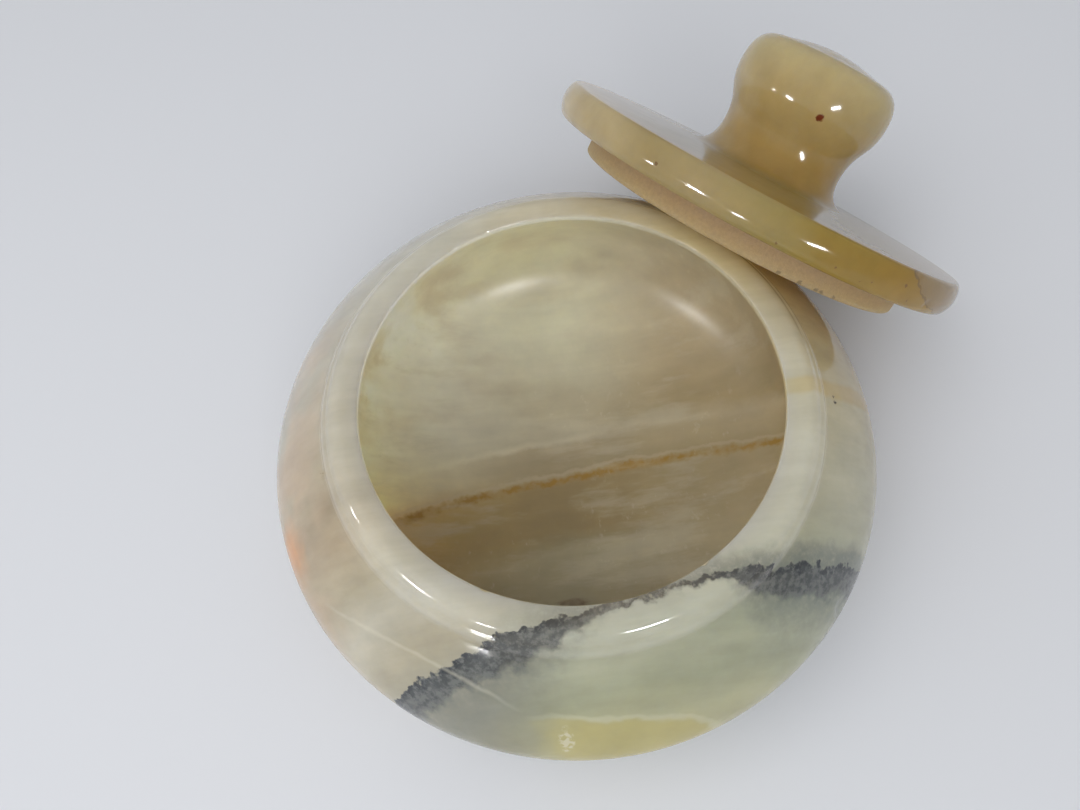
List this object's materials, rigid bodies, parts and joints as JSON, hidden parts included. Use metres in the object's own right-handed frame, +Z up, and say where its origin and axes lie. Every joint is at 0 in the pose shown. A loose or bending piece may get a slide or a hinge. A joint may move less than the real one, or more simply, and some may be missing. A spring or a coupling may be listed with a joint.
{
  "type": "lidded onyx jar",
  "caption": "Squat round jar turned from banded onyx, open and hollow, with its knobbed lid taken off and leaning against the rim.",
  "frame": {"origin": "centre of the jar's flat foot, on the surface that the jar stands on", "axes": "+Z up along the jar's axis; the lid leans on the +X +Y side; +X is to the right as seen from the front, looking along +Y"},
  "size_m": [0.1344, 0.1361, 0.0653],
  "materials": {
    "jar_stone": "polished translucent banded calcite, cream and grey-green with a dark slate-blue vein",
    "lid_stone": "polished amber-olive calcite on top, matte pinkish-tan where the spigot was left unpolished"
  },
  "bodies": {
    "root": {"jar": "jar_stone", "lid": "lid_stone"}
  },
  "joints": []
}
